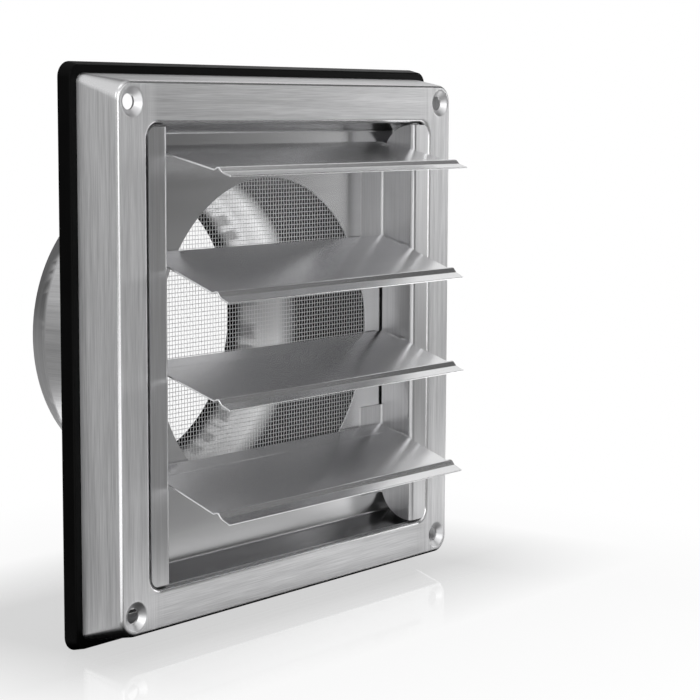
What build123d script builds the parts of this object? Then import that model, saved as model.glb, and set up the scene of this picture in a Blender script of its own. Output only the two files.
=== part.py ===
from build123d import *
import math
import os

# Louvred vent grille for a round duct: a pressed stainless hood with a spigot behind it, an insect
# mesh across the duct, a rubber gasket against the wall, and four gravity flaps that hang on wire
# rods between two folded cheeks.
#
# All sizes are in millimetres. X points to the right, Y into the wall and Z up. The origin lies on
# the axis of the duct, in the wall plane, which is the rear face of the gasket.

# Hood: front frame pressed from one sheet
hood_face = 190.0            # width and height of the front face
hood_depth = 16.8            # front face to rear face
hood_flare = 2.5             # how far each side wall leans out over the depth
hood_sheet = 0.7
hood_corner = 7.0            # corner radius of the front face
hood_rear_corner = 3.0       # corner radius at the rear, where the corners have tightened
hood_bend = 1.5              # outer radius of the bend round the front face
hood_bevel = 0.6             # bevel on the inner side of that bend
hood_return = 5.5            # width of the flange turned in at the rear
hood_border = 14.7           # face edge to the clear opening
opening_corner = 5.0
lip_bend = 2.0               # radius of the edge turned in at the opening
lip_bevel = 0.8              # bevel on the rear side of that bend
lip_depth = 2.8

# Screw holes: countersinks pressed into the corners of the hood
screw_inset = 7.0            # hole centre to the side of the front face
screw_hole = 5.4             # diameter of the hole
screw_countersink = 10.4     # diameter at the front face
screw_sink_depth = 1.8

# Gasket: moulded rubber frame between the hood and the wall
gasket_thickness = 4.8
gasket_margin = 3.0          # how far its front edge stands out past the hood
gasket_slope = 1.0           # how far the rear edge stands out past the front one
gasket_corner = 4.5
gasket_bevel = 0.6           # bevel along its front edge
gasket_inset = 0.5           # inner edge, short of the edge of the hood's return flange

# Back plate: folded tray behind the opening, with the duct hole
tray_sheet = 0.6
tray_depth = 15.3            # rear of the border to the front of the back wall
tray_back_inset = 2.9        # side of the opening to the side of the back wall
tray_lip_gap = 0.2           # clearance of the tray's mouth round the turned-in edge
tray_bend = 1.0
tray_flange = 2.4            # width of the flanges that lie behind the border
tray_flange_inset = 9.2      # corner of the mouth to the end of a flange
tray_relief = 0.6            # clearance of the tray's corners round the screw countersinks

# Spigot: rolled collar that goes into a 125 mm duct
spigot_outer = 124.0
spigot_sheet = 0.6
spigot_length = 53.8         # mesh to the start of the taper
spigot_taper_length = 13.7
spigot_taper = 6.5           # fall of the radius over the taper
spigot_flange = 5.0          # width of the flange behind the back plate
duct_ledge = 1.8             # how far the back plate reaches in past the collar's outer face

# Insect mesh: square wire grid clamped between the back plate and the spigot's flange
mesh_pitch = 18.0
mesh_wire = 3.0              # width of one wire
mesh_layer = 0.3             # depth of one layer of wires
mesh_grip = 4.0              # how far the mesh reaches under the back plate

# Cheeks: folded plates at the left and right of the opening that carry the rods
cheek_sheet = 0.6
cheek_end_gap = 0.8          # top and bottom of a cheek to the opening
cheek_side_gap = 0.2         # outer edge of a front flange to the opening
cheek_web_inset = 9.8        # side of the opening to the inner face of a web
cheek_setback = 0.1          # front flange behind the front face of the hood
cheek_flange_corner = 3.0
cheek_web_corner = 14.0      # radius at the rear corners of the web
cheek_fold = 1.8             # outer radius of the folds
cheek_clearance = 0.8        # rear edge of the web to the back plate
tab_width = 14.0             # web to the free edge of a tab
tab_end_gap = 10.1           # end of the cheek to the far end of a tab
tab_height = 36.1

# Flaps: four thin blades with a stepped rear band, a bead and a lip
flap_sheet = 0.6
flap_side_gap = 1.4          # end of a flap to the web beside it
flap_top_gap = 2.3           # top of the closed flaps to the opening
flap_bottom_gap = 1.0        # tip of the closed bottom flap to the opening
flap_overlap = 4.5           # how far a closed flap laps over the next one
flap_band = 7.4              # crease to the rear edge
flap_band_gap = 0.2          # rear edge to the tabs, when the flap is level
flap_joggle = 0.6            # how far the band behind the crease is stepped down
flap_joggle_run = 0.9        # length of the step
flap_bead_rise = 1.6         # start of the bead to its peak
flap_bead_fall = 2.1         # peak of the bead to the lip
flap_bead_height = 1.3
flap_lip = 4.0               # end of the bead to the tip
flap_lip_drop = 0.35
flap_fold = 0.7              # radius of the folds, on the centre of the sheet
flap_angles = (12.8, 20.6, 17.8, 20.2)    # degrees below level, from the top flap down

# Rods: wires below the creases of the flaps that turn in holes in the cheeks
rod_diameter = 2.0
rod_offset = 0.6             # rod axis in front of the crease
rod_seat = 0.02              # gap between a rod and its blade
rod_clearance = 0.05         # radial play of a rod in its hole
rod_overhang = 1.5           # rod end past the outer face of a cheek

# Places that follow from the sizes above
hood_rear = -gasket_thickness
hood_front = hood_rear - hood_depth
hood_rear_width = hood_face + 2 * hood_flare
border_rear = hood_front + hood_sheet
screw_reach = hood_face / 2 - screw_inset
opening = hood_face - 2 * hood_border
back_front = border_rear + tray_depth
back_rear = back_front + tray_sheet
tray_back = opening - 2 * tray_back_inset
tray_mouth = opening + 2 * (lip_bend + tray_lip_gap)
duct_hole = spigot_outer / 2 - duct_ledge
mesh_rear = back_rear + 2 * mesh_layer
web_inner = opening / 2 - cheek_web_inset
web_outer = web_inner + cheek_sheet
flap_width = 2 * (web_inner - flap_side_gap)
flap_count = len(flap_angles)
flap_pitch = (opening - flap_top_gap - flap_bottom_gap - flap_overlap) / flap_count
flap_reach = flap_pitch - flap_band + flap_overlap
rod_y = back_front - cheek_sheet - flap_band_gap - flap_band - rod_offset
top_rod_height = opening / 2 - flap_top_gap - flap_band - rod_offset


def across(x, y, z):
    """Plane across the duct axis through a point, facing the wall."""
    return Plane(origin=(x, y, z), x_dir=(1, 0, 0), z_dir=(0, 1, 0))


def rounded_square(y, width, corner):
    """Square outline with round corners at depth y."""
    return across(0, y, 0) * RectangleRounded(width, width, corner)


def square_prism(y_from, y_to, width, corner):
    """Straight block with a rounded square outline, between two depths."""
    return extrude(rounded_square(y_from, width, corner), amount=y_to - y_from)


def leaning_bar(y, width, length, depth, lean):
    """Bar along Z with two level ends, whose left and right sides lean out over its depth."""
    half = width / 2
    section = Polyline(
        (-half, 0),
        (half, 0),
        (half + lean, depth),
        (-half - lean, depth),
        close=True,
    )
    plane = Plane(origin=(0, y, -length / 2), x_dir=(1, 0, 0), z_dir=(0, 0, 1))
    return extrude(plane * make_face(section), amount=length)


def sharp_block(y, width, depth, lean):
    """Block with a square front and sharp corners whose four sides lean out over its depth."""
    bar = leaning_bar(y, width, 2 * width, depth, lean)
    return bar & bar.rotate(Axis.Y, 90)


def rounded_block(y, width, corner, rear_corner, depth, lean):
    """Leaning square block whose corners go from one radius at the front to another at the rear."""
    slope = lean / depth
    ratio = 1 / math.sqrt(1 + slope ** 2)
    reach = width / 2 - corner
    rear_reach = width / 2 + lean - rear_corner
    front = Vector(reach, y, reach)
    rear = Vector(rear_reach, y + depth, rear_reach)
    axis = rear - front

    # Cone that touches both sides of a corner, longer than the block at both ends.
    sine = (corner - rear_corner) * ratio / axis.length
    cosine = math.sqrt(1 - sine ** 2)
    front_radius = (corner * ratio + corner * sine) / cosine
    rear_radius = (rear_corner * ratio - rear_corner * sine) / cosine
    length = axis.length + corner + rear_corner
    align = (Align.CENTER, Align.CENTER, Align.MIN)
    start = Plane(origin=front - axis.normalized() * corner, z_dir=axis)
    cone = start * Cone(front_radius, rear_radius, length, align=align)
    cone &= box_between((0, y, 0), (width, y + depth, width))

    # Everything outside the plane through the two lines where the cone touches the sides.
    foot = front + Vector(1, -slope, 0) * corner * ratio ** 2
    rear_foot = rear + Vector(1, -slope, 0) * rear_corner * ratio ** 2
    chord = Vector(1, 0, -1)
    outward = chord.cross(rear_foot - foot)
    waste = Plane(origin=foot, x_dir=chord, z_dir=outward) * Box(4 * corner, 4 * depth, 2 * corner, align=align)

    block = sharp_block(y, width, depth, lean)
    for turn in range(4):
        block -= Rot(0, 90 * turn, 0) * waste
    for turn in range(4):
        block += Rot(0, 90 * turn, 0) * cone
    return block


def box_between(low, high):
    """Box from its lowest to its highest corner."""
    size = [b - a for a, b in zip(low, high)]
    centre = [(a + b) / 2 for a, b in zip(low, high)]
    return Pos(*centre) * Box(*size)


def cylinder_along_y(x, z, radius, y_from, y_to):
    """Cylinder between two depths."""
    disc = across(x, y_from, z) * Circle(radius)
    return extrude(disc, amount=y_to - y_from)


def cone_along_y(x, z, y_from, y_to, radius_from, radius_to):
    """Cone between two depths."""
    align = (Align.CENTER, Align.CENTER, Align.MIN)
    return across(x, y_from, z) * Cone(radius_from, radius_to, y_to - y_from, align=align)


def edges_at(shape, y, reach):
    """Edges of a shape that lie at depth y, inside a square of half width reach."""
    found = []
    for edge in shape.edges():
        box = edge.bounding_box()
        flat = abs(box.min.Y - y) < 0.01 and abs(box.max.Y - y) < 0.01
        if flat and max(-box.min.X, box.max.X, -box.min.Z, box.max.Z) < reach:
            found.append(edge)
    return found


def screw_places():
    """X and Z of the four screw holes."""
    return [(side * screw_reach, level * screw_reach) for side in (-1, 1) for level in (-1, 1)]


def sink_back_radius(depth):
    """Radius of the rear side of a pressed countersink at a depth behind the front face."""
    slope = (screw_countersink - screw_hole) / 2 / screw_sink_depth
    wall = hood_sheet * math.sqrt(1 + slope ** 2)
    return screw_countersink / 2 - slope * depth + wall


def make_front_frame():
    """Hood: flared box with a turned-in opening, a rear flange and pressed countersinks."""
    slope = hood_flare / hood_depth
    wall = hood_sheet * math.sqrt(1 + slope ** 2)
    skin = rounded_block(hood_front, hood_face, hood_corner, hood_rear_corner, hood_depth, hood_flare)
    skin = fillet(skin.edges().group_by(Axis.Y)[0], hood_bend)
    inner_width = hood_face + 2 * (slope * hood_sheet - wall)
    inner_depth = hood_depth - 2 * hood_sheet
    change = (hood_corner - hood_rear_corner) / hood_depth * hood_sheet
    inner_corner = hood_corner - change - wall
    inner_rear_corner = hood_rear_corner + change - wall
    hollow = rounded_block(
        border_rear, inner_width, inner_corner, inner_rear_corner, inner_depth, slope * inner_depth,
    )
    hollow = chamfer(hollow.edges().group_by(Axis.Y)[0], hood_bevel)
    frame = skin - hollow
    frame -= square_prism(border_rear, hood_rear, hood_rear_width - 2 * hood_return, opening_corner)

    lip_width = opening + 2 * hood_sheet
    frame += square_prism(hood_front, hood_front + lip_depth, lip_width, opening_corner + hood_sheet)
    frame -= square_prism(hood_front, hood_rear, opening, opening_corner)
    near_lip = lip_width / 2 + 0.01
    frame = fillet(edges_at(frame, hood_front, near_lip), lip_bend)
    frame = chamfer(edges_at(frame, border_rear, near_lip), lip_bevel)

    start = hood_sheet / 2
    end = screw_sink_depth + hood_sheet
    for x, z in screw_places():
        cup = cone_along_y(x, z, hood_front + start, hood_front + end, sink_back_radius(start), sink_back_radius(end))
        seat = cone_along_y(x, z, hood_front, hood_front + screw_sink_depth, screw_countersink / 2, screw_hole / 2)
        hole = cylinder_along_y(x, z, screw_hole / 2, hood_front + screw_sink_depth / 2, hood_front + 2 * end)
        frame = frame + cup - seat - hole
    return frame


def make_gasket():
    """Rubber frame with sloping sides, glued to the rear of the hood."""
    front_width = hood_rear_width + 2 * gasket_margin
    rear_corner = gasket_corner + gasket_slope
    block = rounded_block(hood_rear, front_width, gasket_corner, rear_corner, gasket_thickness, gasket_slope)
    block = chamfer(block.edges().group_by(Axis.Y)[0], gasket_bevel)
    inner_width = hood_rear_width - 2 * (hood_return - gasket_inset)
    return block - square_prism(hood_rear, 0, inner_width, opening_corner)


def make_back_plate():
    """Tray with sloping walls, flanges behind the border and the duct hole."""
    slope = (tray_mouth - tray_back) / 2 / tray_depth
    wall = tray_sheet * math.sqrt(1 + slope ** 2)
    outer_depth = tray_depth + tray_sheet
    solid = sharp_block(border_rear, tray_mouth + 2 * wall, outer_depth, -slope * outer_depth)
    solid = fillet(solid.edges().group_by(Axis.Y)[-1], tray_bend + tray_sheet)
    hollow = sharp_block(border_rear, tray_mouth, tray_depth, -slope * tray_depth)
    hollow = fillet(hollow.edges().group_by(Axis.Y)[-1], tray_bend)
    inner = tray_mouth / 2
    half_length = inner - tray_flange_inset
    flange = box_between(
        (-half_length, border_rear, inner),
        (half_length, border_rear + tray_sheet, inner + wall + tray_flange),
    )
    tray = solid
    for turn in range(4):
        tray += Rot(0, 90 * turn, 0) * flange
    tray -= hollow
    tray -= cylinder_along_y(0, 0, duct_hole, back_front - tray_sheet, back_rear + tray_sheet)
    relief = sink_back_radius(hood_sheet) + tray_relief
    for x, z in screw_places():
        tray -= cylinder_along_y(x, z, relief, border_rear, border_rear + screw_sink_depth + tray_sheet)
    return tray


def make_spigot():
    """Collar with a flange against the mesh and a tapered open end."""
    radius = spigot_outer / 2
    flange_rear = mesh_rear + spigot_sheet
    taper_start = mesh_rear + spigot_length
    taper_end = taper_start + spigot_taper_length
    lean = math.sqrt(1 + (spigot_taper / spigot_taper_length) ** 2)
    inner_radius = radius - spigot_sheet
    inner_taper = taper_start - (lean - 1) * spigot_sheet * spigot_taper_length / spigot_taper
    section = make_face(Polyline(
        (radius + spigot_flange, mesh_rear),
        (inner_radius, mesh_rear),
        (inner_radius, inner_taper),
        (radius - spigot_taper - lean * spigot_sheet, taper_end),
        (radius - spigot_taper, taper_end),
        (radius, taper_start),
        (radius, flange_rear),
        (radius + spigot_flange, flange_rear),
        close=True,
    ))
    return revolve(section, Axis.Y)


def make_insect_mesh():
    """Round piece of crossed wires in two layers, joined where they cross."""
    reach = duct_hole + mesh_grip
    steps = math.floor(reach / mesh_pitch)
    wires = Sketch()
    for step in range(-steps, steps + 1):
        wires += Pos(0, step * mesh_pitch) * Rectangle(2 * reach, mesh_wire)
    wires &= Circle(reach)
    front_layer = extrude(across(0, back_rear, 0) * wires, amount=mesh_layer)
    rear_layer = extrude(across(0, mesh_rear, 0) * Rot(0, 0, 90) * wires, amount=-mesh_layer)
    return front_layer + rear_layer


def rod_place(index):
    """Y and Z of the axis of a rod, counted from the top."""
    return (rod_y, top_rod_height - index * flap_pitch)


def make_right_cheek():
    """Folded plate: flange in the opening, web with the rod holes, two tabs on the back plate."""
    front = hood_front + cheek_setback
    half = opening / 2 - cheek_end_gap
    reach = opening / 2 - cheek_side_gap
    tab_edge = web_outer - tab_width
    web_rear = back_front - cheek_clearance
    tab_centre = half - tab_end_gap - tab_height / 2
    half_sheet = cheek_sheet / 2
    path = FilletPolyline(
        (reach, front + half_sheet),
        (web_inner + half_sheet, front + half_sheet),
        (web_inner + half_sheet, back_front - half_sheet),
        (tab_edge, back_front - half_sheet),
        radius=cheek_fold - half_sheet,
    )
    folded = extrude(Pos(0, 0, -half) * trace(path, cheek_sheet), amount=2 * half)

    # From the side: the web with its round rear corners, and the longer stretches of the tabs.
    web = Pos((front + web_rear) / 2, 0) * Rectangle(web_rear - front, 2 * half)
    side = fillet(web.vertices().group_by(Axis.X)[-1], cheek_web_corner)
    # From the front: the flange with its round corners, and the tabs.
    flange = Pos((web_inner + reach) / 2, 0) * Rectangle(reach - web_inner, 2 * half)
    face = fillet(flange.vertices().group_by(Axis.X)[-1], cheek_flange_corner)
    tab = Pos((tab_edge + web_outer) / 2, 0) * Rectangle(tab_width, tab_height)
    for level in (-1, 1):
        stretch = Rectangle(back_front - front, tab_height)
        side += Pos((front + back_front) / 2, level * tab_centre) * stretch
        face += Pos(0, level * tab_centre) * tab
    side_block = extrude(Plane.YZ * side, amount=reach)
    face_block = extrude(Plane.XZ * face, amount=-front)
    cheek = folded & side_block & face_block
    hole = rod_diameter / 2 + rod_clearance
    for index in range(flap_count):
        y, z = rod_place(index)
        drill = Cylinder(hole, 4 * cheek_sheet, rotation=(0, 90, 0))
        cheek -= Pos((web_inner + web_outer) / 2, y, z) * drill
    return cheek


def make_flap(index):
    """Blade with its band, crease, bead and lip, turned to its place at rest."""
    half_sheet = flap_sheet / 2
    lip_start = flap_reach - flap_lip
    peak = lip_start - flap_bead_fall
    centre_line = FilletPolyline(
        (-flap_band, -flap_joggle - half_sheet),
        (-flap_joggle_run, -flap_joggle - half_sheet),
        (0, -half_sheet),
        (peak - flap_bead_rise, -half_sheet),
        (peak, flap_bead_height - half_sheet),
        (lip_start, -half_sheet),
        (flap_reach, -flap_lip_drop - half_sheet),
        radius=flap_fold,
    )
    section = trace(centre_line, flap_sheet)
    axis_drop = flap_sheet + rod_seat + rod_diameter / 2
    section = Pos(-rod_offset, axis_drop) * section
    y, z = rod_place(index)
    blade_plane = Plane(origin=(flap_width / 2, y, z), x_dir=(0, -1, 0), z_dir=(-1, 0, 0))
    blade = extrude(blade_plane * section, amount=flap_width)
    return blade.rotate(Axis((0, y, z), (1, 0, 0)), flap_angles[index])


def make_rod(index):
    """Wire that runs the whole width under a flap and into both cheeks."""
    y, z = rod_place(index)
    length = 2 * (web_outer + rod_overhang)
    return Pos(0, y, z) * Cylinder(rod_diameter / 2, length, rotation=(0, 90, 0))


def make_parts():
    """All pieces, by name."""
    right_cheek = make_right_cheek()
    parts = {
        "front_frame": make_front_frame(),
        "gasket": make_gasket(),
        "back_plate": make_back_plate(),
        "insect_mesh": make_insect_mesh(),
        "spigot": make_spigot(),
        "left_cheek": mirror(right_cheek, Plane.YZ),
        "right_cheek": right_cheek,
    }
    for index in range(flap_count):
        parts[f"flap_{index + 1}"] = make_flap(index)
        parts[f"pivot_rod_{index + 1}"] = make_rod(index)
    return parts


os.makedirs("parts", exist_ok=True)
for name, part in make_parts().items():
    export_step(part, f"parts/{name}.step")
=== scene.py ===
import math

import bmesh
import bpy
from mathutils import Matrix, Vector


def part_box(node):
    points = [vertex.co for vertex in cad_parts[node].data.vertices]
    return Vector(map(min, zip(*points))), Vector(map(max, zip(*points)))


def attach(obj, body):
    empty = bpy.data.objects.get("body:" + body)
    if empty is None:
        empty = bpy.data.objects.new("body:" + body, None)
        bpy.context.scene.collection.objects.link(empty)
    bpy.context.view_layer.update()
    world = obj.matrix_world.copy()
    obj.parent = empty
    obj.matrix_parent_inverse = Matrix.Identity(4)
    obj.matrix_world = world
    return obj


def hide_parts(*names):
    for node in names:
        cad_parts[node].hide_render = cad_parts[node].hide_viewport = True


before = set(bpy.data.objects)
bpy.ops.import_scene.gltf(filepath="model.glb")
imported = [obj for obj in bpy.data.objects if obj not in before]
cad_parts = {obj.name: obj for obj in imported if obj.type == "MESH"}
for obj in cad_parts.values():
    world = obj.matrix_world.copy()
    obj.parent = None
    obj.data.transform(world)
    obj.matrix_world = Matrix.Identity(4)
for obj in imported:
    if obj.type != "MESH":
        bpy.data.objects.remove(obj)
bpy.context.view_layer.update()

# All sizes are in metres. X points right, Y into the wall and Z up, from the duct axis in the wall plane.
MM = 0.001

# The hood, pressed from one sheet
FRAME_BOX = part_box("front_frame")
HOOD_FRONT = FRAME_BOX[0][1]
HOOD_REAR = FRAME_BOX[1][1]
HOOD_FACE = 190.0 * MM
HOOD_FLARE = 2.5 * MM
HOOD_SHEET = 0.7 * MM
HOOD_CORNER = 7.0 * MM
HOOD_REAR_CORNER = 3.0 * MM
HOOD_BEND = 1.5 * MM
HOOD_RETURN = 5.5 * MM
OPENING = 160.6 * MM
OPENING_CORNER = 5.0 * MM
LIP_BEND = 2.0 * MM
LIP_DEPTH = 2.8 * MM
BROKEN_EDGE = 0.12 * MM

# The pressed countersinks of its screw holes
SCREW_PLACE = 88.0 * MM
SCREW_HOLE = 5.4 * MM
SCREW_SINK = 10.4 * MM
SCREW_SINK_DEPTH = 1.8 * MM
SCREW_MOUTH = 1.2 * MM

# The scratches of the steel, and how far from the hood's middle the level ones give way to upright ones
SCRATCH_DEPTH = 0.02 * MM
SCRATCHES_TURN = (73 * MM, 83 * MM)

# The rubber frame between the hood and the wall
GASKET_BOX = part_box("gasket")
GASKET_CORNER = 4.5 * MM
GASKET_SLOPE = 1.0 * MM
GASKET_ROUNDING = 0.7 * MM
GASKET_OPENING = 185.0 * MM

# The flaps
FLAP_SHEET = 0.6 * MM
FLAP_WIDTH = 138.2 * MM
FLAP_FOLD = 0.7 * MM
FLAP_ANGLES = (12.8, 20.6, 17.8, 20.2)
ROD_Y = -14.4 * MM
TOP_ROD_Z = 70.0 * MM
FLAP_PITCH = 38.2 * MM
CREASE_BEHIND_ROD = 0.6 * MM
BLADE_OVER_ROD = 1.62 * MM

# The woven insect mesh
MESH_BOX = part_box("insect_mesh")
WEAVE_PITCH = 1.55 * MM
WEAVE_WIRE = 0.22 * MM
WEAVE_RADIUS = MESH_BOX[1][0] - 0.2 * MM
WEAVE_WIRES = 2 * int(WEAVE_RADIUS / WEAVE_PITCH) + 1
WEAVE_DEPTH = (MESH_BOX[0][1] + MESH_BOX[1][1]) / 2

# The collar
TAPER_START = 49.4 * MM
TAPER_BLEND = 0.3 * MM
# Depths over which painted light and shade are laid along the collar's inside.
PAINTED_INSIDE_DEPTHS = (31 * MM, 63 * MM)

# The viewpoint of the photograph
CAMERA_PLACE = Vector((-581.5, -502.1, 86.3)) * MM
CAMERA_TURN = 51.85
CAMERA_DROP = 6.79
CAMERA_ROLL = 0.21
CAMERA_LENS = 104.8
CAMERA_SENSOR = 36.0

# The studio. Each lamp has a name, a place, a width and height, and a power in watts.
LAMPS = [
    ("left_softbox", (-1.5, -0.35, 0.85), (0.6, 0.7), 1.7),
    ("front_softbox", (-0.5, -1.5, 0.4), (0.85, 1.0), 5.2),
    ("near_softbox", (0.35, -0.95, 0.5), (0.5, 0.5), 0.6),
    ("right_softbox", (1.0, -0.45, 0.17), (0.4, 0.5), 1.3),
    ("rear_softbox", (1.18, 0.51, 0.78), (0.9, 0.9), 2),
    ("overhead_softbox", (-0.4, -0.7, 1.7), (0.9, 0.7), 1.7),
]
# What the steel mirrors of the room grows from dark to pale toward this side.
PALE_SIDE = (-0.6, -0.2, 0.77)
FLOOR_HEIGHT = GASKET_BOX[0][2]
FLOOR_REACH = 6.0


def linear(code):
    """Linear colour of an sRGB hex code."""
    channels = [int(code[i:i + 2], 16) / 255 for i in (1, 3, 5)]
    return [c / 12.92 if c <= 0.04045 else ((c + 0.055) / 1.055) ** 2.4 for c in channels] + [1.0]


def add(tree, kind, links=None, stops=(), **settings):
    """Adds a node. An input takes a value, a socket to link, or a node whose first output is linked."""
    node = tree.nodes.new(kind)
    for name, value in settings.items():
        setattr(node, name, value)
    if stops:
        elements = node.color_ramp.elements
        while len(elements) < len(stops):
            elements.new(0.5)
        for element, (place, code) in zip(elements, stops):
            element.position = place
            element.color = linear(code)
    for name, source in (links or {}).items():
        if isinstance(source, bpy.types.Node):
            source = source.outputs[0]
        if isinstance(source, bpy.types.NodeSocket):
            tree.links.new(source, node.inputs[name])
        else:
            node.inputs[name].default_value = source
    return node


def new_material(name):
    """Empty node material with its surface output."""
    material = bpy.data.materials.new(name)
    material.use_nodes = True
    material.node_tree.nodes.clear()
    output = add(material.node_tree, "ShaderNodeOutputMaterial")
    return material, material.node_tree, output


def streaks(tree, sizes, seed=0.0):
    """Noise drawn out to a size in millimetres along each axis of the object."""
    place = add(tree, "ShaderNodeTexCoord").outputs["Object"]
    drawn_out = add(tree, "ShaderNodeMapping", {
        "Vector": place, "Scale": [1 / (size * MM) for size in sizes],
        "Location": (seed, seed * 1.7, seed * 0.6)})
    return add(tree, "ShaderNodeTexNoise", {
        "Vector": drawn_out, "Scale": 1.0, "Detail": 3.0, "Roughness": 0.6})


def step_between(tree, axis, low, high, both_sides=False):
    """0 to 1 where the object's coordinate along an axis passes from low to high."""
    place = add(tree, "ShaderNodeTexCoord").outputs["Object"]
    value = add(tree, "ShaderNodeSeparateXYZ", {"Vector": place}).outputs[axis]
    if both_sides:
        value = add(tree, "ShaderNodeMath", {0: value}, operation="ABSOLUTE")
    return add(tree, "ShaderNodeMapRange", {"Value": value, "From Min": low, "From Max": high})


def finish_steel(tree, output, fine, broad, tones, roughness, bump=0.0):
    """Steel surface whose tone, roughness and scratches follow fine and broad streaks."""
    mixed = add(tree, "ShaderNodeMix", {"Factor": 0.45, "A": fine, "B": broad})
    tone = add(tree, "ShaderNodeValToRGB", {"Fac": mixed}, [(0.3, tones[0]), (0.7, tones[1])])
    rough = add(tree, "ShaderNodeMapRange", {
        "Value": mixed, "To Min": roughness[0], "To Max": roughness[1]})
    surface = add(tree, "ShaderNodeBsdfPrincipled", {
        "Base Color": tone, "Metallic": 1.0, "Roughness": rough})
    if bump:
        scratches = add(tree, "ShaderNodeBump", {
            "Height": fine, "Strength": bump, "Distance": SCRATCH_DEPTH})
        tree.links.new(scratches.outputs["Normal"], surface.inputs["Normal"])
    tree.links.new(surface.outputs["BSDF"], output.inputs["Surface"])
    return surface, tone, rough


def brush(tree, surface, direction, amount):
    """Spreads the highlight of a brushed surface across the direction of its scratches."""
    normal = add(tree, "ShaderNodeNewGeometry").outputs["Normal"]
    across = add(tree, "ShaderNodeVectorMath", {0: normal, 1: direction}, operation="CROSS_PRODUCT")
    surface.inputs["Anisotropic"].default_value = amount
    tree.links.new(across.outputs["Vector"], surface.inputs["Tangent"])


def near_screws(tree):
    """1 in the countersinks of the hood and 0 away from them."""
    place = add(tree, "ShaderNodeTexCoord").outputs["Object"]
    quarter = add(tree, "ShaderNodeVectorMath", {0: place}, operation="ABSOLUTE")
    away = add(tree, "ShaderNodeVectorMath", {
        0: quarter, 1: (SCREW_PLACE, 0, SCREW_PLACE)}, operation="SUBTRACT")
    level = add(tree, "ShaderNodeVectorMath", {0: away, 1: (1, 0, 1)}, operation="MULTIPLY")
    distance = add(tree, "ShaderNodeVectorMath", {0: level}, operation="LENGTH").outputs["Value"]
    return add(tree, "ShaderNodeMapRange", {
        "Value": distance, "From Min": 0.62 * SCREW_SINK, "From Max": 0.55 * SCREW_SINK})


def hood_steel():
    """Brushed stainless steel: upright scratches at the sides and level ones between, a soft silky sheen."""
    material, tree, output = new_material("brushed_stainless")
    normal = add(tree, "ShaderNodeNewGeometry").outputs["Normal"]
    facing = add(tree, "ShaderNodeVectorMath", {0: normal}, operation="ABSOLUTE")
    parts = add(tree, "ShaderNodeSeparateXYZ", {"Vector": facing}).outputs
    beside = step_between(tree, "X", *SCRATCHES_TURN, both_sides=True)
    side = add(tree, "ShaderNodeMath", {0: beside, 1: parts["Z"]}, operation="SUBTRACT", use_clamp=True)
    # The press leaves the bends smoother and plainer than the flat faces, and the countersinks softer.
    most = add(tree, "ShaderNodeMath", {0: parts["X"], 1: parts["Y"]}, operation="MAXIMUM")
    most = add(tree, "ShaderNodeMath", {0: most, 1: parts["Z"]}, operation="MAXIMUM")
    bend = add(tree, "ShaderNodeMapRange", {"Value": most, "From Min": 0.985, "From Max": 0.93})
    scratches = []
    for across, along, seeds in ((0.3, 16, (0.0, 0.0)), (2.2, 70, (3.1, 5.3))):
        level = streaks(tree, (along, across, across), seeds[0])
        upright = streaks(tree, (across, across, along), seeds[1])
        both = add(tree, "ShaderNodeMix", {"Factor": side, "A": level, "B": upright})
        scratches.append(add(tree, "ShaderNodeMix", {"Factor": bend, "A": both, "B": 0.5}))
    surface, _, flat = finish_steel(
        tree, output, *scratches, ("#c0c0c1", "#f6f6f7"), (0.42, 0.5), 0.1)
    pressed = add(tree, "ShaderNodeMix", {"Factor": bend, "A": flat, "B": 0.26})
    rough = add(tree, "ShaderNodeMix", {"Factor": near_screws(tree), "A": pressed, "B": 0.4})
    tree.links.new(rough.outputs["Result"], surface.inputs["Roughness"])
    between = add(tree, "ShaderNodeMath", {0: 1.0, 1: side}, operation="SUBTRACT")
    brush(tree, surface, add(tree, "ShaderNodeCombineXYZ", {"X": between, "Z": side}), 0.3)
    return material


def sheet_steel(name, sizes, tones, roughness, bump=0.0):
    """Satin stainless sheet or drawn wire: a smooth grey gloss with faint long streaks."""
    material, tree, output = new_material(name)
    broad_sizes = [size * 5 for size in sizes]
    fine, broad = streaks(tree, sizes), streaks(tree, broad_sizes, 3.1)
    finish_steel(tree, output, fine, broad, tones, roughness, bump)
    return material


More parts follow.
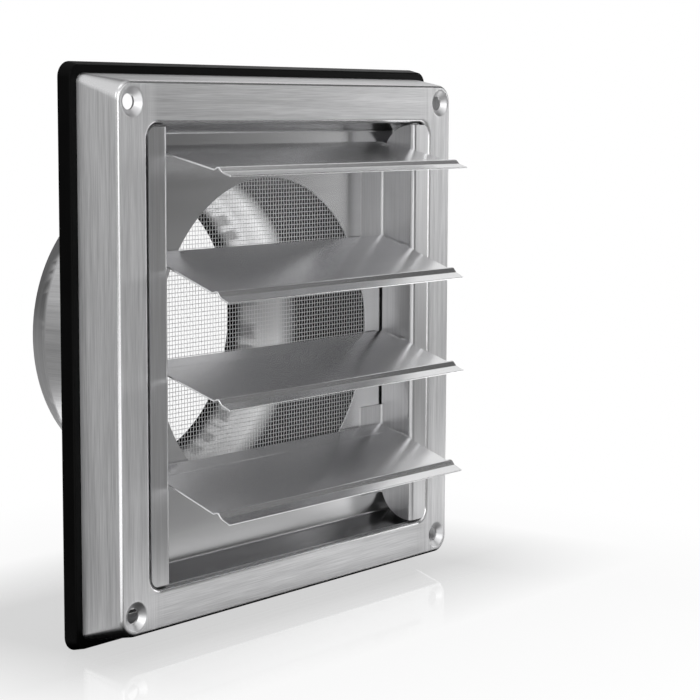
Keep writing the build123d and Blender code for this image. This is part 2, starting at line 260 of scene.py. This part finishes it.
def collar_steel():
    """Rolled stainless collar: fine scratches along it, turned rings on its taper, painted light and shade
    inside.
    """
    material, tree, output = new_material("rolled_stainless")
    taper = step_between(tree, "Y", TAPER_START - TAPER_BLEND, TAPER_START + TAPER_BLEND)
    fine = add(tree, "ShaderNodeMix", {
        "Factor": taper, "A": streaks(tree, (0.35, 22, 0.35)), "B": streaks(tree, (40, 0.3, 40))})
    broad = add(tree, "ShaderNodeMix", {
        "Factor": taper, "A": streaks(tree, (1.6, 80, 1.6), 3.1), "B": streaks(tree, (60, 1.4, 60), 5.3)})
    surface, outside, _ = finish_steel(
        tree, output, fine, broad, ("#d8d8d9", "#fdfdfe"), (0.3, 0.42), 0.25)
    # The inner face, whose normal points to the axis, gets a painted highlight, pale in the middle, and
    # painted shade, dark toward its ends.
    place = add(tree, "ShaderNodeTexCoord").outputs["Object"]
    spoke = add(tree, "ShaderNodeVectorMath", {0: place, 1: (-1.0, 0.0, -1.0)}, operation="MULTIPLY")
    normal = add(tree, "ShaderNodeNewGeometry").outputs["Normal"]
    inward = add(tree, "ShaderNodeVectorMath", {0: spoke, 1: normal}, operation="DOT_PRODUCT")
    inside = add(tree, "ShaderNodeMath", {0: inward.outputs["Value"], 1: 0.01}, operation="GREATER_THAN")
    painted_inside_light = add(tree, "ShaderNodeValToRGB", {"Fac": step_between(tree, "Y", *PAINTED_INSIDE_DEPTHS)}, [
        (0.0, "#3c3c3d"), (0.1, "#a8a8a9"), (0.3, "#f8f8f9"), (0.8, "#c8c8c9"), (0.86, "#7c7c7d"),
        (0.9, "#141415")])
    both = add(tree, "ShaderNodeMixRGB", {"Fac": inside, "Color1": outside, "Color2": painted_inside_light})
    tree.links.new(both.outputs["Color"], surface.inputs["Base Color"])
    return material


def rubber():
    """Black moulded EPDM rubber: deep black and matt, with a faint grain."""
    material, tree, output = new_material("moulded_rubber")
    place = add(tree, "ShaderNodeTexCoord").outputs["Object"]
    grain = add(tree, "ShaderNodeTexNoise", {"Vector": place, "Scale": 1 / (0.5 * MM), "Detail": 4.0})
    dust = add(tree, "ShaderNodeTexNoise", {"Vector": place, "Scale": 1 / (14 * MM), "Detail": 5.0})
    tone = add(tree, "ShaderNodeValToRGB", {"Fac": dust}, [(0.35, "#010101"), (0.75, "#040404")])
    rough = add(tree, "ShaderNodeMapRange", {"Value": dust, "To Min": 0.38, "To Max": 0.48})
    height = add(tree, "ShaderNodeBump", {"Height": grain, "Strength": 0.3, "Distance": 0.04 * MM})
    surface = add(tree, "ShaderNodeBsdfPrincipled", {
        "Base Color": tone, "Roughness": rough, "Specular IOR Level": 0.07, "IOR": 1.5,
        "Normal": height})
    tree.links.new(surface.outputs["BSDF"], output.inputs["Surface"])
    return material


def in_scene(name, data):
    """Object of the scene that holds a mesh, a lamp or a camera."""
    thing = bpy.data.objects.new(name, data)
    bpy.context.scene.collection.objects.link(thing)
    return thing


def shade(mesh, angle=30.0):
    """Smooth shading up to an angle."""
    mesh.shade_smooth()
    mesh.set_sharp_from_angle(angle=math.radians(angle))


def new_piece(name, mesh, material, smooth_angle=30.0):
    """Piece of the vent from a mesh, in one material, with smooth shading up to an angle."""
    piece = in_scene(name, mesh)
    mesh.materials.clear()
    mesh.materials.append(material)
    shade(mesh, smooth_angle)
    return piece


def mesh_from(bm, name):
    """Mesh from a bmesh, which is freed."""
    mesh = bpy.data.meshes.new(name)
    bm.to_mesh(mesh)
    bm.free()
    return mesh


def apply_modifiers(piece):
    """Turns what the modifiers make into the piece's own plain mesh."""
    graph = bpy.context.evaluated_depsgraph_get()
    mesh = bpy.data.meshes.new_from_object(piece.evaluated_get(graph))
    piece.modifiers.clear()
    old = piece.data
    piece.data = mesh
    bpy.data.meshes.remove(old)


def soften(piece, width, angle=35.0, segments=2):
    """Rounds sharp edges by a small bevel and evens out the normals of the flat faces."""
    bevel = piece.modifiers.new("edges", "BEVEL")
    bevel.width = width
    bevel.segments = segments
    bevel.limit_method = "ANGLE"
    bevel.angle_limit = math.radians(angle)
    weights = piece.modifiers.new("normals", "WEIGHTED_NORMAL")
    weights.keep_sharp = True
    apply_modifiers(piece)


def arc(centre, radius, start, end, steps):
    """Points of an arc in a plane, angles in degrees."""
    points = []
    for i in range(steps + 1):
        angle = math.radians(start + (end - start) * i / steps)
        points.append((centre[0] + radius * math.cos(angle), centre[1] + radius * math.sin(angle)))
    return points


def square_ring(half, corner, depth, steps):
    """Points of a square outline with round corners, at a depth."""
    flat = half - corner
    points = []
    for quarter, (right, up) in enumerate(((1, 1), (-1, 1), (-1, -1), (1, -1))):
        turn = 90 * quarter
        for x, z in arc((right * flat, up * flat), corner, turn, turn + 90, steps):
            points.append(Vector((x, depth, z)))
    return points


def loft(bm, rings, closed=False):
    """Quads between rings of points, and from the last ring to the first if closed."""
    rows = [[bm.verts.new(point) for point in ring] for ring in rings]
    pairs = list(zip(rows, rows[1:]))
    if closed:
        pairs.append((rows[-1], rows[0]))
    for first, second in pairs:
        for i in range(len(first)):
            j = (i + 1) % len(first)
            bm.faces.new((first[i], first[j], second[j], second[i]))
    bmesh.ops.recalc_face_normals(bm, faces=bm.faces)
    return rows


def hood_section():
    """Closed outline of the hood's sheet: (half width, depth) pairs from the lip round to the lip."""
    slope = HOOD_FLARE / (HOOD_REAR - HOOD_FRONT)
    turn = 90 - math.degrees(math.atan(slope))
    half = HOOD_FACE / 2
    rear_half = half + HOOD_FLARE
    wall = HOOD_SHEET * math.sqrt(1 + slope ** 2)
    tangent = HOOD_BEND * math.tan(math.radians(turn / 2))
    centre = (half - tangent, HOOD_FRONT + HOOD_BEND)
    lip = OPENING / 2
    lip_end = HOOD_FRONT + LIP_DEPTH
    lip_centre = (lip + LIP_BEND, HOOD_FRONT + LIP_BEND)
    back = rear_half - HOOD_RETURN
    inner_half = rear_half - wall - slope * HOOD_SHEET
    inner_rear = HOOD_REAR - HOOD_SHEET
    edge = BROKEN_EDGE
    outside = [(lip, lip_end - edge)]
    outside += arc(lip_centre, LIP_BEND, 180, 270, 8)
    outside += arc(centre, HOOD_BEND, 270, 270 + turn, 8)
    outside += [(rear_half - slope * edge, HOOD_REAR - edge), (rear_half - edge, HOOD_REAR)]
    outside += [(back + edge, HOOD_REAR), (back, HOOD_REAR - edge)]
    inside = [(back, inner_rear + edge), (back + edge, inner_rear)]
    inside += [(inner_half - edge, inner_rear), (inner_half, inner_rear - edge)]
    inside += arc(centre, HOOD_BEND - HOOD_SHEET, 270 + turn, 270, 8)
    inside += arc(lip_centre, LIP_BEND - HOOD_SHEET, 270, 180, 8)
    inside += [(lip + HOOD_SHEET, lip_end - edge)]
    inside += [(lip + HOOD_SHEET - edge, lip_end), (lip + edge, lip_end)]
    return outside + inside


def solid_of_revolution(name, centre, profile, steps=64):
    """Solid of a profile that starts and ends on the axis along Y."""
    bm = bmesh.new()
    rings = []
    for radius, depth in profile:
        ring = []
        for i in range(steps):
            angle = math.tau * i / steps
            x = centre[0] + radius * math.cos(angle)
            z = centre[1] + radius * math.sin(angle)
            ring.append(Vector((x, depth, z)))
        rings.append(ring)
    rows = loft(bm, rings)
    bm.faces.new(rows[0])
    bm.faces.new(rows[-1])
    bmesh.ops.recalc_face_normals(bm, faces=bm.faces)
    return in_scene(name, mesh_from(bm, name))


def cut(piece, tool, operation):
    """Joins or cuts a tool body into a piece, and removes the tool."""
    modifier = piece.modifiers.new("cut", "BOOLEAN")
    modifier.operation = operation
    modifier.solver = "EXACT"
    modifier.object = tool
    apply_modifiers(piece)
    bpy.data.objects.remove(tool)


def press_countersinks(hood):
    """Presses four countersinks with rounded mouths into the corners of the hood."""
    slope = (SCREW_SINK - SCREW_HOLE) / 2 / SCREW_SINK_DEPTH
    wall = HOOD_SHEET * math.sqrt(1 + slope ** 2)
    bottom = HOOD_FRONT + SCREW_SINK_DEPTH
    end = SCREW_SINK_DEPTH + HOOD_SHEET
    cup = [(SCREW_SINK / 2 - slope * d + wall, HOOD_FRONT + d) for d in (HOOD_SHEET / 2, end)]
    # The mouth is an arc that meets the front face and the cone.
    fall = math.degrees(math.atan(1 / slope))
    reach = SCREW_SINK / 2 + SCREW_MOUTH * math.tan(math.radians(fall / 2))
    mouth = arc((reach, HOOD_FRONT + SCREW_MOUTH + 0.01 * MM), SCREW_MOUTH, 270, 270 - fall, 6)
    hole = SCREW_HOLE / 2
    rim = [(hole + slope * 0.3 * MM, bottom - 0.3 * MM), (hole + 0.06 * MM, bottom)]
    rim += [(hole, bottom + 0.25 * MM), (hole, HOOD_FRONT + 2 * end)]
    seat = [(mouth[0][0], HOOD_FRONT - HOOD_SHEET)] + mouth + rim
    for x in (-SCREW_PLACE, SCREW_PLACE):
        for z in (-SCREW_PLACE, SCREW_PLACE):
            cut(hood, solid_of_revolution("cup", (x, z), cup), "UNION")
            cut(hood, solid_of_revolution("seat", (x, z), seat), "DIFFERENCE")


def make_hood(material):
    """Hood with its bends, turned-in opening, rear flange and four pressed countersinks."""
    bm = bmesh.new()
    rings = []
    for half, depth in hood_section():
        share = (depth - HOOD_FRONT) / (HOOD_REAR - HOOD_FRONT)
        wall_half = HOOD_FACE / 2 + HOOD_FLARE * share
        wall_corner = HOOD_CORNER + (HOOD_REAR_CORNER - HOOD_CORNER) * share
        near_lip = half < (OPENING + HOOD_FACE) / 4
        at_return = share > 0.9 and half < HOOD_FACE / 2 + HOOD_FLARE - HOOD_RETURN + HOOD_SHEET
        if at_return:
            corner = OPENING_CORNER
        elif near_lip:
            corner = OPENING_CORNER + half - OPENING / 2
        else:
            corner = wall_corner - (wall_half - half)
        rings.append(square_ring(half, corner, depth, 10))
    loft(bm, rings, closed=True)
    hood = in_scene("hood", mesh_from(bm, "hood"))
    press_countersinks(hood)
    piece = new_piece("front_frame_shell", hood.data.copy(), material)
    bpy.data.objects.remove(hood)
    soften(piece, 0.15 * MM, 25.0)
    return piece


def make_gasket(material):
    """Moulded rubber frame with sloping sides and a rounded front edge."""
    front, rear = GASKET_BOX[0][1], GASKET_BOX[1][1]
    rear_half = GASKET_BOX[1][0]
    front_half = rear_half - GASKET_SLOPE
    inner = GASKET_OPENING / 2
    flat = front_half - GASKET_CORNER
    r = GASKET_ROUNDING
    section = [(inner, rear), (inner, front + r)] + arc((inner + r, front + r), r, 180, 270, 4)[1:]
    section += arc((front_half - r, front + r), r, 270, 360, 6)
    section += [(rear_half, rear)]
    bm = bmesh.new()
    rings = []
    for half, depth in section:
        corner = half - flat if half > (inner + front_half) / 2 else OPENING_CORNER + half - inner
        rings.append(square_ring(half, corner, depth, 12))
    loft(bm, rings, closed=True)
    piece = new_piece("gasket_frame", mesh_from(bm, "gasket_frame"), material, 40.0)
    soften(piece, 0.1 * MM, 60.0)
    return piece


def refined_copy(node, name, material, edge=0.08 * MM):
    """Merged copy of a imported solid, with its flat faces made whole and its edges just broken."""
    bm = bmesh.new()
    bm.from_mesh(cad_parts[node].data)
    bmesh.ops.remove_doubles(bm, verts=bm.verts, dist=0.0005 * MM)
    bmesh.ops.dissolve_limit(bm, angle_limit=math.radians(0.5), verts=bm.verts, edges=bm.edges)
    piece = new_piece(name, mesh_from(bm, name), material)
    soften(piece, edge)
    return piece


def new_group(name, inputs):
    """Geometry node group with named inputs, each given as a name, a kind of socket and a value."""
    tree = bpy.data.node_groups.new(name, "GeometryNodeTree")
    tree.interface.new_socket(name="Geometry", in_out="INPUT", socket_type="NodeSocketGeometry")
    for label, kind, value in inputs:
        socket = tree.interface.new_socket(name=label, in_out="INPUT", socket_type=kind)
        socket.default_value = value
    tree.interface.new_socket(name="Geometry", in_out="OUTPUT", socket_type="NodeSocketGeometry")
    return tree, add(tree, "NodeGroupInput").outputs


def finish_group(tree, geometry, material):
    """Realizes the instances of a geometry, gives it its material and makes it the group's result."""
    real = add(tree, "GeometryNodeRealizeInstances", {"Geometry": geometry})
    skin = add(tree, "GeometryNodeSetMaterial", {"Geometry": real, "Material": material})
    add(tree, "NodeGroupOutput", {"Geometry": skin})


def flap_tree(material):
    """Node group that bends a blade from its centre line, gives it width and sheet, and turns it."""
    tree, given = new_group("bent_blade", [
        ("Fold Radius", "NodeSocketFloat", FLAP_FOLD),
        ("Width", "NodeSocketFloat", FLAP_WIDTH),
        ("Sheet", "NodeSocketFloat", FLAP_SHEET),
        ("Angle", "NodeSocketFloat", 0.0),
        ("Pivot", "NodeSocketVector", (0.0, 0.0, 0.0))])
    path = add(tree, "GeometryNodeMeshToCurve", {"Mesh": given["Geometry"]})
    bends = add(tree, "GeometryNodeFilletCurve", {
        "Curve": path, "Radius": given["Fold Radius"], "Count": 5, "Limit Radius": True}, mode="POLY")
    line = add(tree, "GeometryNodeCurveToMesh", {"Curve": bends})
    across = add(tree, "ShaderNodeCombineXYZ", {"X": given["Width"]})
    sheet = add(tree, "GeometryNodeExtrudeMesh", {
        "Mesh": line, "Offset": across, "Offset Scale": 1.0}, mode="EDGES")
    half = add(tree, "ShaderNodeMath", {0: given["Width"], 1: -0.5}, operation="MULTIPLY")
    centred = add(tree, "ShaderNodeCombineXYZ", {"X": half})
    middle = add(tree, "GeometryNodeTransform", {"Geometry": sheet, "Translation": centred})
    # The sheet is lifted by half its thickness, and then thickened back down through the centre line.
    lift = add(tree, "ShaderNodeMath", {0: given["Sheet"], 1: 0.5}, operation="MULTIPLY")
    normal = add(tree, "GeometryNodeInputNormal").outputs["Normal"]
    shift = add(tree, "ShaderNodeVectorMath", {0: normal, "Scale": lift.outputs["Value"]}, operation="SCALE")
    away = add(tree, "ShaderNodeVectorMath", {0: shift, "Scale": -1.0}, operation="SCALE")
    top = add(tree, "GeometryNodeSetPosition", {"Geometry": middle, "Offset": shift})
    thick = add(tree, "GeometryNodeExtrudeMesh", {
        "Mesh": top, "Offset": away, "Offset Scale": 2.0, "Individual": False}, mode="FACES")
    back = add(tree, "GeometryNodeFlipFaces", {"Mesh": top})
    joined = add(tree, "GeometryNodeJoinGeometry", {"Geometry": thick})
    tree.links.new(back.outputs["Mesh"], joined.inputs["Geometry"])
    merged = add(tree, "GeometryNodeMergeByDistance", {"Geometry": joined, "Distance": 0.01 * MM})
    turn = add(tree, "ShaderNodeCombineXYZ", {"X": given["Angle"]})
    placed = add(tree, "GeometryNodeTransform", {
        "Geometry": merged, "Translation": given["Pivot"], "Rotation": turn})
    finish_group(tree, placed, material)
    return tree


def use_tree(piece, tree, values):
    """Gives a piece a node group, with some of its named inputs set, and makes the result its mesh."""
    modifier = piece.modifiers.new("nodes", "NODES")
    modifier.node_group = tree
    for item in tree.interface.items_tree:
        if item.item_type == "SOCKET" and item.in_out == "INPUT" and item.name in values:
            modifier[item.identifier] = values[item.name]
    apply_modifiers(piece)


def blade_line():
    """Corners of a blade's centre line about the rod's axis, from its rear band over the bead to its lip."""
    outline = [(-7.4, -0.6), (-0.9, -0.6), (0.0, 0.0), (27.6, 0.0), (29.2, 1.3), (31.3, 0.0), (35.3, -0.35)]
    rise = BLADE_OVER_ROD - FLAP_SHEET / 2
    return [Vector((0, CREASE_BEHIND_ROD - ahead * MM, up * MM + rise)) for ahead, up in outline]


def make_flap(index, tree, material):
    """One blade, bent by the node group, with its cut edges just broken."""
    name = f"flap_blade_{index + 1}"
    mesh = bpy.data.meshes.new(name)
    points = blade_line()
    mesh.from_pydata(points, [(i, i + 1) for i in range(len(points) - 1)], [])
    piece = new_piece(name, mesh, material)
    pivot = (0.0, ROD_Y, TOP_ROD_Z - index * FLAP_PITCH)
    use_tree(piece, tree, {"Angle": math.radians(FLAP_ANGLES[index]), "Pivot": pivot})
    bm = bmesh.new()
    bm.from_mesh(piece.data)
    bmesh.ops.recalc_face_normals(bm, faces=bm.faces)
    bm.to_mesh(piece.data)
    bm.free()
    shade(piece.data)
    soften(piece, 0.18 * MM, 50.0, 3)
    return piece


def weave_tree(material):
    """Node group of a plain weave: wires that pass over and under each other, cut to a round piece."""
    tree, given = new_group("plain_weave", [
        ("Pitch", "NodeSocketFloat", WEAVE_PITCH),
        ("Wire", "NodeSocketFloat", WEAVE_WIRE),
        ("Radius", "NodeSocketFloat", WEAVE_RADIUS),
        ("Wires", "NodeSocketInt", WEAVE_WIRES),
        ("Depth", "NodeSocketFloat", WEAVE_DEPTH)])
    pitch, count = given["Pitch"], given["Wires"]

    # Points stand a pitch apart in rows and columns, with the first of them at the negative corner.
    index = add(tree, "GeometryNodeInputIndex").outputs["Index"]
    column = add(tree, "ShaderNodeMath", {0: index, 1: count}, operation="MODULO")
    middle_of = add(tree, "ShaderNodeMath", {0: index, 1: 0.5}, operation="ADD")
    rows_passed = add(tree, "ShaderNodeMath", {0: middle_of, 1: count}, operation="DIVIDE")
    row = add(tree, "ShaderNodeMath", {0: rows_passed}, operation="FLOOR")
    last = add(tree, "ShaderNodeMath", {0: count, 1: 1.0}, operation="SUBTRACT")
    half = add(tree, "ShaderNodeMath", {0: last, 1: -0.5}, operation="MULTIPLY")
    start = add(tree, "ShaderNodeMath", {0: half, 1: pitch}, operation="MULTIPLY")
    x, z = [add(tree, "ShaderNodeMath", {0: steps, 1: pitch, 2: start}, operation="MULTIPLY_ADD")
            for steps in (column, row)]

    # They lie half a wire behind and in front of the mesh's depth in turn.
    both = add(tree, "ShaderNodeMath", {0: column, 1: row}, operation="ADD")
    parity = add(tree, "ShaderNodeMath", {0: both, 1: 2.0}, operation="MODULO")
    sign = add(tree, "ShaderNodeMath", {0: parity, 1: 2.0, 2: -1.0}, operation="MULTIPLY_ADD")
    thick = add(tree, "ShaderNodeMath", {0: given["Wire"], 1: 0.5}, operation="MULTIPLY")
    rise = add(tree, "ShaderNodeMath", {0: sign, 1: thick}, operation="MULTIPLY")
    y = add(tree, "ShaderNodeMath", {0: rise, 1: given["Depth"]}, operation="ADD")
    total = add(tree, "ShaderNodeMath", {0: count, 1: count}, operation="MULTIPLY")
    grid = add(tree, "GeometryNodeMeshLine", {"Count": total})
    place = add(tree, "ShaderNodeCombineXYZ", {"X": x, "Y": y, "Z": z})
    points = add(tree, "GeometryNodeMeshToPoints", {"Mesh": grid, "Position": place})

    # Points past the round edge are left out, and the rest are strung row by row.
    squares = [add(tree, "ShaderNodeMath", {0: side, 1: side}, operation="MULTIPLY") for side in (x, z)]
    square = add(tree, "ShaderNodeMath", {0: squares[0], 1: squares[1]}, operation="ADD")
    distance = add(tree, "ShaderNodeMath", {0: square}, operation="SQRT")
    far = add(tree, "ShaderNodeMath", {0: distance, 1: given["Radius"]}, operation="GREATER_THAN")
    for name, value in (("row", row), ("far", far)):
        points = add(tree, "GeometryNodeStoreNamedAttribute", {
            "Geometry": points, "Name": name, "Value": value}, data_type="FLOAT", domain="POINT")
    row_of = add(tree, "GeometryNodeInputNamedAttribute", {"Name": "row"}).outputs["Attribute"]
    is_far = add(tree, "GeometryNodeInputNamedAttribute", {"Name": "far"}).outputs["Attribute"]
    points = add(tree, "GeometryNodeDeleteGeometry", {
        "Geometry": points, "Selection": is_far}, domain="POINT")
    wires = add(tree, "GeometryNodePointsToCurves", {"Points": points, "Curve Group ID": row_of})
    ring = add(tree, "GeometryNodeCurvePrimitiveCircle", {"Resolution": 6, "Radius": thick})
    tubes = add(tree, "GeometryNodeCurveToMesh", {"Curve": wires, "Profile Curve": ring, "Fill Caps": True})

    # The other set of wires is the same one, turned a quarter and mirrored in depth.
    depth = add(tree, "ShaderNodeCombineXYZ", {"Y": given["Depth"]})
    back = add(tree, "ShaderNodeVectorMath", {0: depth, "Scale": -1.0}, operation="SCALE")
    level = add(tree, "GeometryNodeTransform", {"Geometry": tubes, "Translation": back})
    turned = add(tree, "GeometryNodeTransform", {"Geometry": level, "Rotation": (0.0, math.pi / 2, 0.0)})
    mirrored = add(tree, "GeometryNodeTransform", {
        "Geometry": turned, "Rotation": (math.pi, 0.0, 0.0), "Translation": depth})
    joined = add(tree, "GeometryNodeJoinGeometry", {"Geometry": tubes})
    tree.links.new(mirrored.outputs["Geometry"], joined.inputs["Geometry"])
    smooth = add(tree, "GeometryNodeSetShadeSmooth", {"Geometry": joined})
    finish_group(tree, smooth, material)
    return tree


def make_insect_mesh(material):
    """Fine woven wire across the duct, held under the back plate."""
    mesh = bpy.data.meshes.new("woven_mesh")
    mesh.from_pydata([(0, 0, 0)], [], [])
    piece = new_piece("woven_mesh", mesh, material)
    use_tree(piece, weave_tree(material), {})
    return piece


def make_camera():
    """Camera at the photograph's viewpoint."""
    data = bpy.data.cameras.new("camera")
    data.lens = CAMERA_LENS
    data.sensor_width = CAMERA_SENSOR
    camera = in_scene("camera", data)
    turn = Matrix.Rotation(math.radians(-CAMERA_TURN), 4, "Z")
    tilt = Matrix.Rotation(math.radians(90 - CAMERA_DROP), 4, "X")
    roll = Matrix.Rotation(math.radians(CAMERA_ROLL), 4, "Z")
    camera.matrix_world = Matrix.Translation(CAMERA_PLACE) @ turn @ tilt @ roll
    bpy.context.scene.camera = camera


def make_lamp(name, place, size, power):
    """Soft rectangular lamp that faces the vent."""
    data = bpy.data.lights.new(name, "AREA")
    data.shape = "RECTANGLE"
    data.size, data.size_y = size
    data.energy = power
    lamp = in_scene(name, data)
    lamp.location = place
    lamp.rotation_euler = (-Vector(place)).to_track_quat("-Z", "Y").to_euler()


def make_world():
    """Even studio light: white behind the vent, and from dark to pale in what the steel mirrors."""
    world = bpy.data.worlds.new("studio")
    bpy.context.scene.world = world
    world.use_nodes = True
    tree = world.node_tree
    tree.nodes.clear()
    rays = add(tree, "ShaderNodeLightPath").outputs
    seen = add(tree, "ShaderNodeMath", {
        0: rays["Is Camera Ray"], 1: rays["Is Transmission Ray"]}, operation="MAXIMUM")
    grey = add(tree, "ShaderNodeBackground", {"Color": linear("#ffffff"), "Strength": 0.4})
    white = add(tree, "ShaderNodeBackground", {"Color": linear("#ffffff"), "Strength": 1.0})
    place = add(tree, "ShaderNodeTexCoord").outputs["Generated"]
    toward = add(tree, "ShaderNodeVectorMath", {0: place, 1: PALE_SIDE}, operation="DOT_PRODUCT")
    level = add(tree, "ShaderNodeMapRange", {
        "Value": toward.outputs["Value"], "From Min": -1.0, "From Max": 1.0})
    tone = add(tree, "ShaderNodeValToRGB", {"Fac": level}, [
        (0.3, "#2c2c2c"), (0.5, "#4c4c4c"), (0.64, "#9c9c9c"), (0.88, "#ececec")])
    sheen = add(tree, "ShaderNodeBackground", {"Color": tone, "Strength": 1.0})
    gloss = add(tree, "ShaderNodeMixShader", {0: rays["Is Glossy Ray"], 1: grey, 2: sheen})
    light = add(tree, "ShaderNodeMixShader", {0: seen, 1: gloss, 2: white})
    add(tree, "ShaderNodeOutputWorld", {"Surface": light})


def fade(tree, axis, centre, reach, width):
    """1 within a distance of a place along an axis, then down to 0 over a width."""
    place = add(tree, "ShaderNodeTexCoord").outputs["Object"]
    value = add(tree, "ShaderNodeSeparateXYZ", {"Vector": place}).outputs[axis]
    offset = add(tree, "ShaderNodeMath", {0: value, 1: centre}, operation="SUBTRACT")
    away = add(tree, "ShaderNodeMath", {0: offset}, operation="ABSOLUTE")
    return add(tree, "ShaderNodeMapRange", {
        "Value": away, "From Min": reach, "From Max": reach + width, "To Min": 1.0, "To Max": 0.0})


def patch(tree, x, y):
    """1 in a rectangle of the floor and 0 away from it: centre, reach and soft edge along each axis."""
    sides = {0: fade(tree, "X", *x), 1: fade(tree, "Y", *y)}
    return add(tree, "ShaderNodeMath", sides, operation="MULTIPLY")


def table_white():
    """White polished table top: matt white with a soft shadow, a faint mirror image near the vent, and
    painted light and a painted shadow seen only in the steel.
    """
    material, tree, output = new_material("white_table_top")
    rays = add(tree, "ShaderNodeLightPath").outputs
    # In what the steel mirrors, painted light makes the table bright toward the camera, in front, at the
    # right and behind, a painted shadow makes it dark under the vent, and elsewhere it is a painted darker
    # grey.
    painted_light_area = patch(tree, (-0.5, 0.34, 0.05), (-0.44, 0.38, 0.05))
    right = patch(tree, (0.28, 0.09, 0.06), (-0.02, 0.1, 0.06))
    ahead = patch(tree, (0.02, 0.08, 0.03), (-0.062, 0.022, 0.02))
    front = add(tree, "ShaderNodeMath", {0: ahead, 1: 0.64}, operation="MULTIPLY")
    behind = patch(tree, (0.05, 0.15, 0.05), (0.08, 0.06, 0.04))
    for part in (right, front, behind):
        painted_light_area = add(tree, "ShaderNodeMath", {0: painted_light_area, 1: part}, operation="MAXIMUM")
    # A black painted shadow under the vent, seen only in what the steel mirrors.
    under = patch(tree, (0.0, 0.1, 0.006), (-0.002, 0.03, 0.008))
    glossy = rays["Is Glossy Ray"]
    painted_dimness = add(tree, "ShaderNodeMath", {0: glossy, 1: painted_light_area}, operation="SUBTRACT", use_clamp=True)
    tone = add(tree, "ShaderNodeValToRGB", {"Fac": painted_dimness}, [(0.0, "#f2f2f2"), (1.0, "#b4b4b4")])
    dark = add(tree, "ShaderNodeMath", {0: glossy, 1: under}, operation="MULTIPLY")
    shaded = add(tree, "ShaderNodeMixRGB", {"Fac": dark, "Color1": tone, "Color2": linear("#060606")})
    matt = add(tree, "ShaderNodeBsdfDiffuse", {"Color": shaded})
    # The painted light glows white in its areas, outside the painted shadow.
    clear = add(tree, "ShaderNodeMath", {0: painted_light_area, 1: under}, operation="SUBTRACT", use_clamp=True)
    painted_light_strength = add(tree, "ShaderNodeMath", {0: glossy, 1: clear}, operation="MULTIPLY")
    painted_glow = add(tree, "ShaderNodeEmission", {"Color": linear("#ffffff"), "Strength": painted_light_strength})
    table = add(tree, "ShaderNodeAddShader", {0: matt, 1: painted_glow})
    # The camera sees plain white, a little less so near the vent, where the soft shadow shows.
    white = add(tree, "ShaderNodeEmission", {"Color": linear("#ffffff"), "Strength": 1.0})
    near = patch(tree, (0.0, 0.11, 0.12), (0.0, 0.09, 0.12))
    share = add(tree, "ShaderNodeMapRange", {"Value": near, "To Min": 1.0, "To Max": 0.9})
    plain = add(tree, "ShaderNodeMath", {0: share, 1: rays["Is Camera Ray"]}, operation="MULTIPLY")
    top = add(tree, "ShaderNodeMixShader", {0: plain, 1: table, 2: white})
    # Close to the vent, it also sees the polish.
    polish = add(tree, "ShaderNodeBsdfGlossy", {"Color": linear("#ffffff"), "Roughness": 0.03})
    close = patch(tree, (0.0, 0.1, 0.075), (0.02, 0.042, 0.06))
    mirrored = add(tree, "ShaderNodeMath", {0: close, 1: rays["Is Camera Ray"]}, operation="MULTIPLY")
    strength = add(tree, "ShaderNodeMath", {0: mirrored, 1: 0.3}, operation="MULTIPLY")
    surface = add(tree, "ShaderNodeMixShader", {0: strength, 1: top, 2: polish})
    tree.links.new(surface.outputs["Shader"], output.inputs["Surface"])
    return material


def make_floor():
    """Table top that the vent stands on."""
    bm = bmesh.new()
    bmesh.ops.create_grid(bm, x_segments=1, y_segments=1, size=FLOOR_REACH)
    floor = in_scene("floor", mesh_from(bm, "floor"))
    floor.location = (0, 0, FLOOR_HEIGHT)
    floor.data.materials.append(table_white())


brushed = hood_steel()
rolled = collar_steel()
plate_steel = sheet_steel("satin_stainless_plate", (80, 4, 4), ("#cececf", "#dadadb"), (0.2, 0.24))
cheek_steel = sheet_steel("satin_stainless_cheek", (0.8, 0.8, 30), ("#bcbcbd", "#d4d4d5"), (0.28, 0.33), 0.06)
blade_steel = sheet_steel("satin_stainless_blade", (80, 4, 4), ("#f0f0f1", "#f8f8f9"), (0.22, 0.26))
wire_steel = sheet_steel("drawn_steel_wire", (8, 8, 8), ("#e6e6e7", "#f4f4f5"), (0.3, 0.4))
black_rubber = rubber()

hood = make_hood(brushed)
gasket = make_gasket(black_rubber)
tray = refined_copy("back_plate", "folded_tray", plate_steel)
collar = refined_copy("spigot", "duct_collar", rolled)
left_cheek = refined_copy("left_cheek", "left_cheek_plate", cheek_steel, 0.26 * MM)
right_cheek = refined_copy("right_cheek", "right_cheek_plate", cheek_steel, 0.26 * MM)
woven = make_insect_mesh(wire_steel)
blade_tree = flap_tree(blade_steel)

FIXED = [(hood, "front_frame"), (gasket, "gasket"), (tray, "back_plate"), (collar, "spigot"),
         (left_cheek, "left_cheek"), (right_cheek, "right_cheek"), (woven, "insect_mesh")]
for piece, node in FIXED:
    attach(piece, "frame")
    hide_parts(node)

for index in range(len(FLAP_ANGLES)):
    blade = make_flap(index, blade_tree, blade_steel)
    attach(blade, f"flap_{index + 1}")
    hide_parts(f"flap_{index + 1}")
    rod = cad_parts[f"pivot_rod_{index + 1}"]
    rod.data.materials.clear()
    rod.data.materials.append(wire_steel)

make_camera()
make_world()
make_floor()
for name, place, size, power in LAMPS:
    make_lamp(name, place, size, power)
bpy.context.scene.view_settings.view_transform = "Standard"
